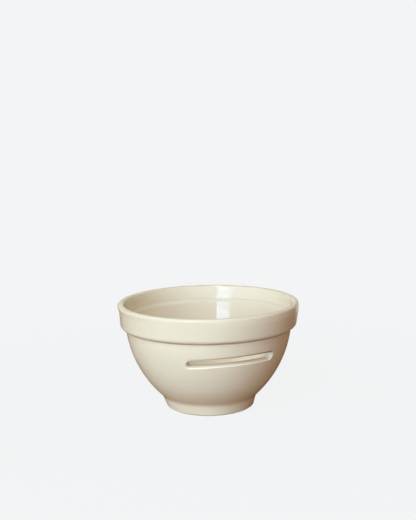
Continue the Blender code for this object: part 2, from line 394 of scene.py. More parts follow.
def slot_outline(grow):
    """(distance round the wall, height over its middle line), clockwise as seen from outside."""
    radius = SLOT_END + grow
    spots = []
    for side in (1, -1):
        spots += [(side * SLOT_RUN * c / PATCH_SIDE, side * radius) for c in range(-PATCH_SIDE, PATCH_SIDE)]
        for k in range(PATCH_ROWS):
            turn = math.pi * (0.5 - k / PATCH_ROWS)
            spots.append((side * (SLOT_RUN + radius * math.cos(turn)), side * radius * math.sin(turn)))
    return spots


def slot_shares(along, above):
    """A spot's place in the slot, from -1 at its left end and sill to 1 at its right end and upper edge."""
    return 2 * along / SLOT_LENGTH, min(1.0, max(-1.0, 2 * above / SLOT_HEIGHT))


print(f"slot {1000 * SLOT_LENGTH:.1f} x {1000 * SLOT_HEIGHT:.1f} mm, in {len(slot_outline(0))} spots")

# %% [markdown]
# ## Glaze at the slot
# Melted glaze moves until it sets. At the upper edge of the slot it sags by half a millimetre, and painted
# brown shade lies on that edge and on the wall just above it, most of all towards the right. The sill was
# wiped a little lower on the same side. Deep in the tunnel painted shade darkens the glaze, and near the
# right end it fades out again. Painted masks could show this, but the mesh has its points just there. So the
# sag and the sill shape the slot itself, and two notes at each spot of its outline serve the material: how
# much painted shade lies over the slot's upper edge, and how much of the tunnel's painted shade it keeps.

# %% Sag, sill and painted shade
SLOT_LEVEL = 41.2 * MM
SLOT_ARCH = 1.05 * MM
SLOT_TILT = math.radians(1.2)
GLAZE_SAG = 0.45 * MM
SILL_DROP = 0.36 * MM
SILL_MIDDLE, SILL_GAIN = 0.7, 0.3
# Painted brown shade over the slot's upper edge, stronger towards the right end.
HANG_MIDDLE, HANG_GAIN = 0.6, 0.4
# Where the tunnel's painted shade fades out near the right end, and by how much.
POOL_ENDS = (0.35, 0.9, 2.0)
POOL_LOSS = 0.65


def faded(value, low, middle, high):
    """1 at the middle value, easing to 0 at the low and high ones."""
    share = min((value - low) / (middle - low), (high - value) / (high - middle))
    share = min(1.0, max(0.0, share))
    return share**2 * (3 - 2 * share)


def slot_notes():
    """(painted shade over the upper edge, share of the tunnel's painted shade kept) of each spot of the
    outline. The round ends take less painted shade the nearer to their tips.
    """
    notes = []
    for along, above in slot_outline(0):
        aside, across = slot_shares(along, above)
        past_run = max(0.0, abs(along) - SLOT_RUN) / SLOT_END
        # Painted brown shade lies only over the upper edge, more to the right and less round the ends.
        hang = max(0.0, across) * (HANG_MIDDLE + HANG_GAIN * aside) * (1 - past_run) ** 2
        # The tunnel's painted shade is kept in full except near the right end.
        notes.append((hang, 1 - POOL_LOSS * faded(aside, *POOL_ENDS)))
    return notes


def slot_place(along, above, depth):
    """(azimuth, height, depth) of a spot in the slot, which is cut square to the leaning wall."""
    outer, inner = (wall_radius(SLOT_LEVEL, d) for d in (0, WALL))
    lean = (WALL_CENTRE.y - SLOT_LEVEL) / (outer - WALL_CENTRE.x)
    rise = (depth / WALL - 0.5) * (outer - inner) * lean
    aside, across = slot_shares(along, above)
    sag = GLAZE_SAG * across if across > 0 else -SILL_DROP * across * (SILL_MIDDLE + SILL_GAIN * aside)
    height = SLOT_LEVEL + above + along * math.tan(SLOT_TILT) - SLOT_ARCH * aside**2 - sag
    return along / outer, height + rise, depth


# Prints the most painted shade over the upper edge, and the least share of the tunnel's painted shade kept.
print(f"the glaze hangs most at {max(hang for hang, _ in slot_notes()):.2f} and pools least at "
      f"{min(pool for _, pool in slot_notes()):.2f}")

# %% Rings round the slot
SLOT_EDGE_ROUND = 0.8 * MM
EDGE_STEPS = 7
TUNNEL_STEPS = 4
TUNNEL_POOL = 0.8
PATCH_RINGS = 8
RING_GROWTH = 1.35


def slot_ring(depth, grow):
    return [slot_place(along, above, depth) for along, above in slot_outline(grow)]


def patch_rings(border, depth):
    """Rings from the patch's border in to the slot's mouth, crowding towards the mouth."""
    mouth = slot_ring(depth, SLOT_EDGE_ROUND)
    total = RING_GROWTH**PATCH_RINGS - 1
    rings = []
    for k in range(PATCH_RINGS - 1, -1, -1):
        share = (RING_GROWTH**k - 1) / total
        rings.append([(m[0] + (b[0] - m[0]) * share, m[1] + (b[1] - m[1]) * share, depth)
                      for m, b in zip(mouth, border)])
    return rings


def edge_rings(sink):
    """(rings, how sharply each bends, lowered by the tunnel's painted shade) from just inside the outer
    mouth to just inside the inner one.
    """
    edge = SLOT_EDGE_ROUND - sink
    turns = [math.pi / 2 * k / EDGE_STEPS for k in range(1, EDGE_STEPS + 1)]
    mouth = [(sink + edge * (1 - math.cos(turn)), sink + edge * (1 - math.sin(turn)), math.sin(2 * turn))
             for turn in turns]
    deep = WALL - 2 * SLOT_EDGE_ROUND
    shares = [k / TUNNEL_STEPS for k in range(1, TUNNEL_STEPS)]
    # Through the tunnel and round its inner edge the bend notes are lowered by painted shade, deepest at the
    # inner end.
    tunnel = [(SLOT_EDGE_ROUND + deep * share, sink, -TUNNEL_POOL * share**2) for share in shares]
    back = [(WALL - depth, grow, bend - TUNNEL_POOL * math.sin(turn) ** 4)
            for (depth, grow, bend), turn in zip(reversed(mouth), reversed(turns))]
    steps = mouth + tunnel + back
    return [slot_ring(depth, grow) for depth, grow, _ in steps], [bend for _, _, bend in steps]


print(f"{PATCH_RINGS} rings on each face of the wall, {len(edge_rings(0)[0])} through the slot")

# %% [markdown]
# ## The maker's hand
# No hand sets a collar quite straight. Here it leans by half a millimetre, its lower edge rises by almost
# as much on the camera's side, and the foot stands a third of a millimetre off the middle. A lattice
# could bend a pot like this. Shifting each point as it is made needs no extra object, and leaves the
# inside and the top of the lip where they are.

# %% Slips of the hand
COLLAR_LEAN = 0.55 * MM
COLLAR_LEAN_AZIMUTH = math.radians(50.0)
COLLAR_RISE = 0.42 * MM
COLLAR_RISE_AZIMUTH = math.radians(-17.0)
FOOT_SET = 0.35 * MM
FOOT_SET_AZIMUTH = math.radians(73.0)
FOOT_SET_REACH = 6.0 * MM


def collar_shift(azimuth, height):
    """(outward, upward) shift of the outside round the collar."""
    lean = faded(height, COLLAR_LEVEL, NECK_LEVEL, HEIGHT - LIP_OUTER_ROUND)
    rise = faded(height, PATCH_HIGH, COLLAR_LEVEL, NECK_LEVEL)
    outward = COLLAR_LEAN * math.cos(azimuth - COLLAR_LEAN_AZIMUTH) * lean
    return outward, COLLAR_RISE * math.cos(azimuth - COLLAR_RISE_AZIMUTH) * rise


def foot_shift(height):
    """(x, y) shift of the foot, fading out a little above the floor."""
    away = FOOT_SET * faded(height, -HEIGHT, 0.0, FOOT_SET_REACH)
    return away * math.sin(FOOT_SET_AZIMUTH), -away * math.cos(FOOT_SET_AZIMUTH)


print(f"the foot is shifted by {1000 * math.hypot(*foot_shift(0)):.2f} mm on the floor")

# %% [markdown]
# ## Turning a skin
# One function turns any outline about the axis, and another weaves the slot into it. A Screw modifier turns
# outlines too, but it can't leave the two patches open for the slot. Each point also notes how tightly the
# outline bends there, and in the slot's tunnel that note also carries painted shade. Melted glaze draws away
# from ridges and gathers in hollows, so the glaze material uses that note to thin itself on sharp edges, and
# to darken hollows such as the seat under the collar, partly as pooled glaze and partly as painted shade.

# %% Bends of an outline
BEND_REACH = 0.6 * MM


def bends(path):
    """Signed bend of the outline at each point, per metre, smoothed: ridges positive, hollows negative."""
    points = np.array([tuple(point) for point in path])
    steps = np.diff(points, axis=0)
    lengths = np.linalg.norm(steps, axis=1)
    heading = np.unwrap(np.arctan2(steps[:, 1], steps[:, 0]))
    bend = np.zeros(len(points))
    bend[1:-1] = -np.diff(heading)
    along = np.concatenate([[0], np.cumsum(lengths)])
    spread = np.exp(-(((along[:, None] - along[None, :]) / BEND_REACH) ** 2))
    return spread @ bend / (BEND_REACH * math.sqrt(math.pi))


print(f"the outline bends from {min(bends(OUTLINE)):.0f} to {max(bends(OUTLINE)):.0f} per metre")

# %% Skins and pieces
NOTES = ("bend", "hang")


class Skin:
    """Points and faces, with a bend and a painted shade at each point, collected row by row."""

    def __init__(self):
        self.points = []
        self.bend = []
        self.hang = []
        self.faces = []

    def add(self, azimuth, radius, height, bend, hang=0.0):
        x, y = foot_shift(height)
        self.points.append((radius * math.sin(azimuth) + x, -radius * math.cos(azimuth) + y, height))
        self.bend.append(bend)
        self.hang.append(hang)
        return len(self.points) - 1

    def bridge(self, first, second, places):
        """Quads between two rings at these places round them, or a fan where a ring is one point."""
        count = max(len(first), len(second))
        for k in places:
            n = (k + 1) % count
            loop = [ring[i % len(ring)] for ring, i in ((first, k), (second, k), (second, n), (first, n))]
            self.faces.append(tuple(dict.fromkeys(loop)))


def new_piece(name, skin):
    """A smooth-shaded mesh object from a skin, with the notes kept on its points."""
    mesh = bpy.data.meshes.new(name)
    mesh.from_pydata(skin.points, [], skin.faces)
    for note in NOTES:
        mesh.attributes.new(note, "FLOAT", "POINT").data.foreach_set("value", getattr(skin, note))
    mesh.shade_smooth()
    piece = bpy.data.objects.new(name, mesh)
    bpy.context.scene.collection.objects.link(piece)
    print(f"{name}: {len(mesh.vertices)} points, {len(mesh.polygons)} faces")
    return piece


print("each point of a skin keeps its", " and its ".join(NOTES))

# %% Grid with two open patches
COLUMNS = 180
ON_AXIS = 1e-7


def column_azimuth(column):
    return 2 * math.pi * column / COLUMNS


def signed(column):
    """A grid column counted from the middle of the slot, left of it negative."""
    return (column + COLUMNS // 2) % COLUMNS - COLUMNS // 2


def in_patch(row, column):
    """Whether a grid point lies inside one of the two patches, their borders left out."""
    inside = any(first < row < first + PATCH_ROWS for first in (INNER_ROW, OUTER_ROW))
    return inside and abs(signed(column)) < PATCH_SIDE


def covers_patch(row, column):
    """Whether the face below a row and right of a column would lie in a patch."""
    inside = any(first <= row < first + PATCH_ROWS for first in (INNER_ROW, OUTER_ROW))
    return inside and -PATCH_SIDE <= signed(column) < PATCH_SIDE


def turn_grid(skin, path, slotted=True):
    """Turns the outline about the axis, leaving the patches open. Returns each row's point numbers."""
    bend = bends(path)
    top = max(range(len(path)), key=lambda row: path[row].y)
    rows = []
    for row, point in enumerate(path):
        if point.x < ON_AXIS:
            rows.append([skin.add(0, 0, point.y, bend[row])])
            continue
        rows.append([])
        for column in range(COLUMNS):
            azimuth = column_azimuth(column)
            out, up = collar_shift(azimuth, point.y) if row > top else (0.0, 0.0)
            hidden = slotted and in_patch(row, column)
            rows[-1].append(None if hidden else skin.add(azimuth, point.x + out, point.y + up, bend[row]))
    for row, (upper, lower) in enumerate(zip(rows, rows[1:])):
        skin.bridge(upper, lower, [c for c in range(COLUMNS) if not (slotted and covers_patch(row, c))])
    return rows


print(f"{COLUMNS} columns, {2 * PATCH_SIDE} of them across each patch")

# %% Weaving the slot
# Shares of the painted shade over the upper edge on the last rings of wall above the mouth.
HANG_FADE = [0.3, 0.7, 0.9]


def patch_border(first, rising):
    """(row, column) round a patch, clockwise from its upper left corner as seen from outside the pot."""
    top, bottom = (first + PATCH_ROWS, first) if rising else (first, first + PATCH_ROWS)
    down = -1 if rising else 1
    spots = [(top, c) for c in range(-PATCH_SIDE, PATCH_SIDE)]
    spots += [(top + down * k, PATCH_SIDE) for k in range(PATCH_ROWS)]
    spots += [(bottom, c) for c in range(PATCH_SIDE, -PATCH_SIDE, -1)]
    return spots + [(bottom - down * k, -PATCH_SIDE) for k in range(PATCH_ROWS)]


def weave_slot(skin, rows, path, sink):
    """Fills the two patches with rings that run in through the slot, for a skin sunk this far."""
    borders = [patch_border(OUTER_ROW, False), patch_border(INNER_ROW, True)]
    places = [[(column_azimuth(c), path[row].y) for row, c in border] for border in borders]
    outside = patch_rings(places[0], sink)
    inside = patch_rings(places[1], WALL - sink)
    through, through_bend = edge_rings(sink)
    spots = outside + through + inside[::-1]
    bend = [0.0] * len(outside) + [turn / SLOT_EDGE_ROUND for turn in through_bend] + [0.0] * len(inside)
    # Each ring's share of that painted shade: fading in on the wall, full round the edge, none further in.
    hang = [0.0] * (len(outside) - len(HANG_FADE)) + HANG_FADE + [1.0] * EDGE_STEPS
    hang += [0.0] * (len(spots) - len(hang))
    notes = slot_notes()
    # Negative bends, which carry the tunnel's painted shade, shrink where less of it is kept; the painted
    # shade over the upper edge is set per spot.
    rings = [[skin.add(azimuth, wall_radius(height, depth), height, max(turn, turn * pool), share * over)
              for (azimuth, height, depth), (over, pool) in zip(ring, notes)]
             for ring, turn, share in zip(spots, bend, hang)]
    ends = [[rows[row][c] for row, c in border] for border in borders]
    rings = [ends[0]] + rings + [ends[1]]
    for first, second in zip(rings, rings[1:]):
        skin.bridge(first, second, range(len(first)))


def slotted_skin(path, sink):
    skin = Skin()
    rows = turn_grid(skin, path)
    weave_slot(skin, rows, path, sink)
    return skin, rows


print(f"each patch has {len(patch_border(OUTER_ROW, False))} points round its border")

# %% [markdown]
# ## The three pieces
# The glaze is a closed sheet half a millimetre thick: its face, its back against the clay, and a rounded
# bead where it was wiped off above the standing ring. A Solidify modifier could thicken a single skin,
# but not end it in a bead, so the back is a second skin, turned from the sunk outline. The clay inside
# shows only at the standing ring, but it is made whole, slot and all. The patch of glaze under the base
# is a shallow dish of its own.

# %% Glaze sheet
GLAZE = 0.5 * MM
BEAD_STEPS = 8
FOOT_ROWS = 5


def ended_at(path, height, rows=1):
    """The path with its last straight run ended at a height, in this many steps."""
    a, b = path[-2:]
    end = a + (b - a) * (height - a.y) / (b.y - a.y)
    return path[:-1] + [a + (end - a) * k / rows for k in range(1, rows + 1)]


def bead(start, end):
    """Points of the half round that joins the face of the glaze to its back, ends left out."""
    middle = (start + end) / 2
    spoke = start - middle
    first = math.atan2(spoke.y, spoke.x)
    return arc(middle, spoke.length, first, first - math.pi, BEAD_STEPS)[1:-1]


def glaze_sheet():
    edge = GLAZE_LINE + GLAZE / 2
    face_path = ended_at(OUTLINE, edge, FOOT_ROWS)
    back_path = ended_at(sunk(OUTLINE, GLAZE), edge, FOOT_ROWS)
    skin, rows = slotted_skin(face_path, 0)
    back, back_rows = slotted_skin(back_path, GLAZE)
    offset = len(skin.points)
    skin.points += back.points
    skin.bend += back.bend
    skin.hang += back.hang
    skin.faces += [tuple(offset + i for i in reversed(face)) for face in back.faces]
    ring = rows[-1]
    for point in bead(face_path[-1], back_path[-1]):
        lower = [skin.add(column_azimuth(c), point.x, point.y, 0.0) for c in range(COLUMNS)]
        skin.bridge(ring, lower, range(COLUMNS))
        ring = lower
    skin.bridge(ring, [offset + i for i in back_rows[-1]], range(COLUMNS))
    return new_piece("glaze_sheet", skin)


glaze = glaze_sheet()

# %% Clay pot and the glaze under it
FOOT_RING = 4.5 * MM
FOOT_EDGE_ROUND = 0.5 * MM
WELL_DEPTH = 3.0 * MM
WELL_LEAN = 0.8 * MM
WELL_ROUND = 1.8 * MM
WELL_RINGS = 10
GLAZE_SEAT = COAT - GLAZE


def well_outline():
    """The clay of the recess under the base, from the ring's inner edge to the middle."""
    ring_inside = FOOT_RADIUS - COAT - FOOT_RING
    flat = ring_inside - WELL_LEAN
    corners = [(Vector((ring_inside, 0)), 0), (Vector((flat, WELL_DEPTH)), WELL_ROUND)]
    corners += [(Vector((flat * (1 - k / WELL_RINGS), WELL_DEPTH)), 0) for k in range(2, WELL_RINGS + 1)]
    return rounded(corners)


def clay_pot():
    shell = ended_at(sunk(OUTLINE, COAT), 0, FOOT_ROWS)
    corners = [(point, 0) for point in shell + well_outline()]
    for edge in (len(shell) - 1, len(shell)):
        corners[edge] = (corners[edge][0], FOOT_EDGE_ROUND)
    skin, _ = slotted_skin(rounded(corners), COAT)
    return new_piece("clay_pot", skin)


def well_dish():
    against_clay, below = (ended_at(sunk(well_outline(), -gap)[::-1], GLAZE_LINE)
                           for gap in (GLAZE_SEAT, COAT))
    skin = Skin()
    turn_grid(skin, against_clay + below[::-1], slotted=False)
    return new_piece("well_dish", skin)


clay = clay_pot()
well = well_dish()

# %% Ride the frame
for piece, node, slot in ((glaze, "glaze_coat", "cream_glaze"), (clay, "stoneware_body", "bare_stoneware"),
                          (well, "well_glaze", "cream_glaze")):
    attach(piece, "root")
    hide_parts(node)
    print(f"{piece.name} stands in for {node}")

# %% [markdown]
# ## Shared effects
# Fired ware is never one flat colour. Three effects serve more than one finish here, so each is a node group
# with its own inputs: slow clouds and fine grain in the colour, the fine unevenness of a surface that was
# liquid or pressed, and the tones that glaze takes where it flowed, together with painted shade low on the
# wall, in hollows and round the slot. Image textures could hold all this, but they would need the skins
# unfolded. The groups read the position on the object and the notes on its points instead, so nothing slides
# when the view changes.

# %% Node helpers


def add_node(tree, kind, **settings):
    node = tree.nodes.new(kind)
    for name, value in settings.items():
        setattr(node, name, value)
    return node


def feed(tree, value, socket):
    """Gives a socket its value: a link from another socket, or a plain number, colour or vector."""
    if hasattr(value, "links"):
        tree.links.new(value, socket)
    else:
        socket.default_value = value


def noise(tree, coordinates, scale, detail):
    """Soft noise between 0 and 1, with this many spots to the metre."""
    texture = add_node(tree, "ShaderNodeTexNoise")
    for name, value in (("Vector", coordinates), ("Scale", scale), ("Detail", detail)):
        feed(tree, value, texture.inputs[name])
    return texture.outputs["Fac"]


def remap(tree, value, low, high, to_low=0.0, to_high=1.0):
    """A value stretched from one range to another and held inside it."""
    step = add_node(tree, "ShaderNodeMapRange")
    names = ("Value", "From Min", "From Max", "To Min", "To Max")
    for name, amount in zip(names, (value, low, high, to_low, to_high)):
        feed(tree, amount, step.inputs[name])
    return step.outputs["Result"]


def calculate(tree, operation, first, second):
    step = add_node(tree, "ShaderNodeMath", operation=operation)
    for value, socket in zip((first, second), step.inputs):
        feed(tree, value, socket)
    return step.outputs["Value"]


def blend_colour(tree, factor, first, second, mode="MIX"):
    mix = add_node(tree, "ShaderNodeMix", data_type="RGBA", blend_type=mode)
    colours = [socket for socket in mix.inputs if socket.type == "RGBA"]
    for value, socket in zip((factor, first, second), [mix.inputs["Factor"]] + colours):
        feed(tree, value, socket)
    return next(socket for socket in mix.outputs if socket.type == "RGBA")


print("shaders work in linear colour, and the screen in", bpy.context.scene.display_settings.display_device)

# %% Group: fired clouds and grain
COLOUR, VALUE, VECTOR = "NodeSocketColor", "NodeSocketFloat", "NodeSocketVector"
CLOUDS = (38.0, 3.0)
CLOUD_EDGES = (0.35, 0.7)
GRAINS = (900.0, 2.0)


def new_group(name, inputs, outputs):
    """An empty group with {name: kind} inputs and outputs. Returns its tree, its inputs and its outputs."""
    tree = bpy.data.node_groups.new(name, "ShaderNodeTree")
    for direction, sockets in (("INPUT", inputs), ("OUTPUT", outputs)):
        for label, kind in sockets.items():
            tree.interface.new_socket(label, in_out=direction, socket_type=kind)
    return tree, add_node(tree, "NodeGroupInput").outputs, add_node(tree, "NodeGroupOutput").inputs


def fired_tone_group():
    """Colour with slow clouds and fine grain laid over it, for glaze and for bare clay."""
    inputs = {"Colour": COLOUR, "Cloud Colour": COLOUR, "Grain": VALUE, "Position": VECTOR}
    tree, given, out = new_group("fired_tone", inputs, {"Colour": COLOUR})
    clouds = remap(tree, noise(tree, given["Position"], *CLOUDS), *CLOUD_EDGES)
    tinted = blend_colour(tree, clouds, given["Colour"], given["Cloud Colour"])
    grain = noise(tree, given["Position"], *GRAINS)
    uneven = calculate(tree, "MULTIPLY", calculate(tree, "SUBTRACT", grain, 0.5), given["Grain"])
    shade = calculate(tree, "SUBTRACT", 1.0, uneven)
    feed(tree, blend_colour(tree, 1.0, tinted, shade, "MULTIPLY"), out["Colour"])
    return tree


FIRED_TONE = fired_tone_group()
print(f"group {FIRED_TONE.name} of {len(FIRED_TONE.nodes)} nodes")

# %% Group: surface ripple
WAVES = (60.0, 1.0)
PITS = (700.0, 2.0)


def ripple_group():
    """Height of a surface with long slow waves and fine pits, in metres."""
    inputs = {"Waves": VALUE, "Pits": VALUE, "Position": VECTOR}
    tree, given, out = new_group("surface_ripple", inputs, {"Height": VALUE})
    waves = calculate(tree, "MULTIPLY", noise(tree, given["Position"], *WAVES), given["Waves"])
    pits = calculate(tree, "MULTIPLY", noise(tree, given["Position"], *PITS), given["Pits"])
    feed(tree, calculate(tree, "ADD", waves, pits), out["Height"])
    return tree


RIPPLE = ripple_group()
print(f"group {RIPPLE.name} of {len(RIPPLE.nodes)} nodes")

# %% Group: glaze tones and painted shade


def linear(red, green, blue):
    """A colour given in 0 to 255 screen values, as the linear colour that shaders take."""
    channels = [c / 255 for c in (red, green, blue)]
    return (*(c / 12.92 if c <= 0.04045 else ((c + 0.055) / 1.055) ** 2.4 for c in channels), 1.0)


GLAZE_THIN = linear(238, 236, 222)
# Painted shade: the glaze is darker and browner low on the wall, above the foot.
GLAZE_GATHERED = linear(217, 203, 180)
# Grey-brown in hollows: partly pooled glaze, partly painted shade, as in the slot's tunnel.
GLAZE_POOL = linear(172, 150, 122)
# Painted brown shade over the slot's upper edge.
GLAZE_BROKEN = linear(140, 116, 90)
THIN_BENDS = (700.0, 1200.0)
POOL_BENDS = (-150.0, -1100.0)
GATHER_HEIGHTS = (21.0 * MM, 10.0 * MM)
FOOT_HEIGHTS = (5.5 * MM, 8.5 * MM)


def glaze_tone_group():
    """Glaze paler on sharp edges; painted shade low on the wall, brown over the slot's upper edge, and
    grey-brown in hollows along with pooling glaze.
    """
    inputs = {"Colour": COLOUR, "Bend": VALUE, "Hang": VALUE, "Position": VECTOR}
    tree, given, out = new_group("glaze_tone", inputs, {"Colour": COLOUR})
    thin = blend_colour(tree, remap(tree, given["Bend"], *THIN_BENDS), given["Colour"], GLAZE_THIN)
    place = add_node(tree, "ShaderNodeSeparateXYZ")
    feed(tree, given["Position"], place.inputs["Vector"])
    # Painted shade low on the wall, fading in above the foot.
    low = remap(tree, place.outputs["Z"], *GATHER_HEIGHTS)
    above_foot = remap(tree, place.outputs["Z"], *FOOT_HEIGHTS)
    gathered = blend_colour(tree, calculate(tree, "MULTIPLY", low, above_foot), thin, GLAZE_GATHERED)
    # Hollows turn grey-brown: partly pooled glaze, partly painted shade, deepest in the slot's tunnel.
    pooled = blend_colour(tree, remap(tree, given["Bend"], *POOL_BENDS), gathered, GLAZE_POOL)
    # Painted brown shade over the slot's upper edge.
    feed(tree, blend_colour(tree, given["Hang"], pooled, GLAZE_BROKEN), out["Colour"])
    return tree


GLAZE_TONE = glaze_tone_group()
print(f"group {GLAZE_TONE.name} of {len(GLAZE_TONE.nodes)} nodes")

# %% [markdown]
# ## The cream glaze
# The glaze is a thin layer of coloured glass: cream, opaque and shiny. On the real bowl it is paler where it
# draws thin over the slot's edges. Painted shade makes it deeper low on the wall above the foot and
# grey-brown in the slot's tunnel, grey-brown that is partly pooled glaze and partly painted shade sits under
# the collar and in the hollow of the ledge, and painted brown shade lies over the slot's upper edge. A coat
# over a separate base could give the gloss, but this glaze is opaque, so one Principled shader with a low
# roughness does it. The notes on the mesh drive the tone and the painted shade.

# %% Starting a material


def new_material(name):
    material = bpy.data.materials.new(name)
    material.use_nodes = True
    tree = material.node_tree
    position = add_node(tree, "ShaderNodeTexCoord").outputs["Object"]
    return material, tree, tree.nodes["Principled BSDF"], position


def placed(tree, group, **inputs):
    """A group in a material, its inputs given as sockets, numbers or colours. Returns its outputs."""
    node = add_node(tree, "ShaderNodeGroup", node_tree=group)
    for name, value in inputs.items():
        feed(tree, value, node.inputs[name.replace("_", " ")])
    return node.outputs


def ripple_bump(tree, waves, pits, position):
    """A normal that shows the surface ripple at its true height."""
    ripple = placed(tree, RIPPLE, Waves=waves, Pits=pits, Position=position)
    node = add_node(tree, "ShaderNodeBump")
    feed(tree, 1.0, node.inputs["Distance"])
    feed(tree, ripple["Height"], node.inputs["Height"])
    return node.outputs["Normal"]


print("groups to place in materials:", ", ".join(group.name for group in bpy.data.node_groups))

# %% Glaze material
GLAZE_CREAM = linear(228, 223, 203)
GLAZE_CLOUD = linear(225, 219, 198)
GLAZE_GRAIN = 0.045
GLAZE_WAVES = 0.12 * MM
GLAZE_PITS = 0.003 * MM
GLAZE_ROUGHNESS = 0.03
WELL_ROUGHNESS = 0.12
GLAZE_IOR = 1.5
GLAZE_SPECULAR = 0.27
SHEEN = (90.0, 2.0)
SHEEN_EDGES = (0.3, 0.7)
SHEEN_GAIN = 0.02


def glaze_material(name, roughness):
    material, tree, shader, position = new_material(name)
    fired = placed(tree, FIRED_TONE, Colour=GLAZE_CREAM, Cloud_Colour=GLAZE_CLOUD, Grain=GLAZE_GRAIN,
                   Position=position)
    bend, hang = (add_node(tree, "ShaderNodeAttribute", attribute_name=note).outputs["Fac"]
                  for note in NOTES)
    # The tones include painted shade low on the wall, in hollows and round the slot.
    flowed = placed(tree, GLAZE_TONE, Colour=fired["Colour"], Bend=bend, Hang=hang, Position=position)
    feed(tree, flowed["Colour"], shader.inputs["Base Color"])
    sheen = remap(tree, noise(tree, position, *SHEEN), *SHEEN_EDGES, roughness, roughness + SHEEN_GAIN)
    feed(tree, sheen, shader.inputs["Roughness"])
    feed(tree, ripple_bump(tree, GLAZE_WAVES, GLAZE_PITS, position), shader.inputs["Normal"])
    shader.inputs["IOR"].default_value = GLAZE_IOR
    shader.inputs["Specular IOR Level"].default_value = GLAZE_SPECULAR
    return material


glaze.data.materials.append(glaze_material("cream_glaze", GLAZE_ROUGHNESS))
well.data.materials.append(glaze_material("well_cream_glaze", WELL_ROUGHNESS))
print("glazes:", glaze.data.materials[0].name, "and", well.data.materials[0].name)

# %% [markdown]
# ## The bare clay
# Only the ring that the bowl stands on is bare, because glaze there would stick to the kiln shelf. Fired
# stoneware is buff, dull and slightly sandy. A photograph of clay could be wrapped round it, but so narrow
# a ring needs no more than the shared groups with other values: a high roughness and a stronger grain.

# %% Clay material
CLAY_BUFF = linear(205, 181, 148)
CLAY_CLOUD = linear(190, 160, 124)
CLAY_GRAIN = 0.25
CLAY_WAVES = 0.04 * MM
CLAY_PITS = 0.06 * MM
CLAY_ROUGHNESS = 0.85
CLAY_SPECULAR = 0.3


def clay_material():
    material, tree, shader, position = new_material("bare_stoneware")
    fired = placed(tree, FIRED_TONE, Colour=CLAY_BUFF, Cloud_Colour=CLAY_CLOUD, Grain=CLAY_GRAIN,
                   Position=position)
    feed(tree, fired["Colour"], shader.inputs["Base Color"])
    feed(tree, ripple_bump(tree, CLAY_WAVES, CLAY_PITS, position), shader.inputs["Normal"])
    shader.inputs["Roughness"].default_value = CLAY_ROUGHNESS
    shader.inputs["Specular IOR Level"].default_value = CLAY_SPECULAR
    return material


clay.data.materials.append(clay_material())
print("clay:", clay.data.materials[0].name)

# %% [markdown]
# ## The floor
# The bowl stands on a pale floor that runs out of sight in one even tone. A white plane would need so much
# light that the cream would burn out. So for the camera the floor glows by itself, with a little diffuse
# near the bowl that takes its shadow. For the light that it throws back at the bowl it is a warm table top,
# and the glaze mirrors a pale part of it only far behind, towards the right. Light Path tells these rays
# apart.

# %% Shader helpers


def empty_material(name):
    material = bpy.data.materials.new(name)
    material.use_nodes = True
    material.node_tree.nodes.clear()
    return material, material.node_tree


def blend_shader(tree, factor, first, second):
    mix = add_node(tree, "ShaderNodeMixShader")
    for value, socket in zip((factor, first, second), mix.inputs):
        feed(tree, value, socket)
    return mix.outputs["Shader"]


def coloured(tree, kind, colour):
    node = add_node(tree, kind)
    feed(tree, colour, node.inputs["Color"])
    return node.outputs[0]


def vector_step(tree, operation, *values):
    step = add_node(tree, "ShaderNodeVectorMath", operation=operation)
    for value, socket in zip(values, step.inputs):
        feed(tree, value, socket)
    return step.outputs


def ray_kinds(tree):
    """(seen, mirrored): 1 for rays from the camera or through glass, and 1 for mirrored rays."""
    path = add_node(tree, "ShaderNodeLightPath").outputs
    seen = calculate(tree, "MAXIMUM", path["Is Camera Ray"], path["Is Transmission Ray"])
    return seen, path["Is Glossy Ray"]


def shown(tree, surface, kind="ShaderNodeOutputMaterial"):
    feed(tree, surface, add_node(tree, kind).inputs["Surface"])


print("materials so far:", ", ".join(material.name for material in bpy.data.materials))

# %% Floor
BACKGROUND = linear(243, 244, 245)
FLOOR_SIDE = 8.0
FLOOR_GAP = 0.02 * MM
FLOOR_BOUNCE = (0.40, 0.285, 0.185, 1.0)
PALE_TURN = math.radians(157)
PALE_SPREAD = (math.radians(27), math.radians(20))
PALE_MIRRORED = linear(240, 244, 226)
PALE_FROM = (0.20, 0.29)
SHADOW_SHARE = 0.038
SHADOW_REACH = (0.08, 0.3)


def floor_material():
    """Pale for the camera, a warm table top for bounced light, and a pale wedge for the gloss."""
    material, tree = empty_material("pale_floor")
    place = add_node(tree, "ShaderNodeTexCoord").outputs["Object"]
    away = vector_step(tree, "LENGTH", place)["Value"]
    share = remap(tree, away, *SHADOW_REACH, SHADOW_SHARE, 0.0)
    glow = coloured(tree, "ShaderNodeEmission", BACKGROUND)
    pale = blend_shader(tree, share, glow, coloured(tree, "ShaderNodeBsdfDiffuse", BACKGROUND))
    toward = vector_step(tree, "NORMALIZE", place)["Vector"]
    behind = vector_step(tree, "DOT_PRODUCT", toward, around(PALE_TURN, 0, 1.0) - BOWL_MIDDLE)["Value"]
    wedge = remap(tree, behind, *(math.cos(angle) for angle in PALE_SPREAD))
    far_wedge = calculate(tree, "MULTIPLY", wedge, remap(tree, away, *PALE_FROM))
    seen, mirrored = ray_kinds(tree)
    bounce = coloured(tree, "ShaderNodeBsdfDiffuse", FLOOR_BOUNCE)
    pale_mirrored = coloured(tree, "ShaderNodeEmission", PALE_MIRRORED)
    table = blend_shader(tree, calculate(tree, "MULTIPLY", mirrored, far_wedge), bounce, pale_mirrored)
    shown(tree, blend_shader(tree, seen, table, pale))
    return material


bpy.ops.mesh.primitive_plane_add(size=FLOOR_SIDE, location=(0, 0, -FLOOR_GAP))
floor = bpy.context.object
floor.name = "floor"
floor.data.materials.append(floor_material())
floor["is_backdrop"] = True
print(f"floor {FLOOR_SIDE:.0f} m wide, {1000 * FLOOR_GAP:.2f} mm below the foot")

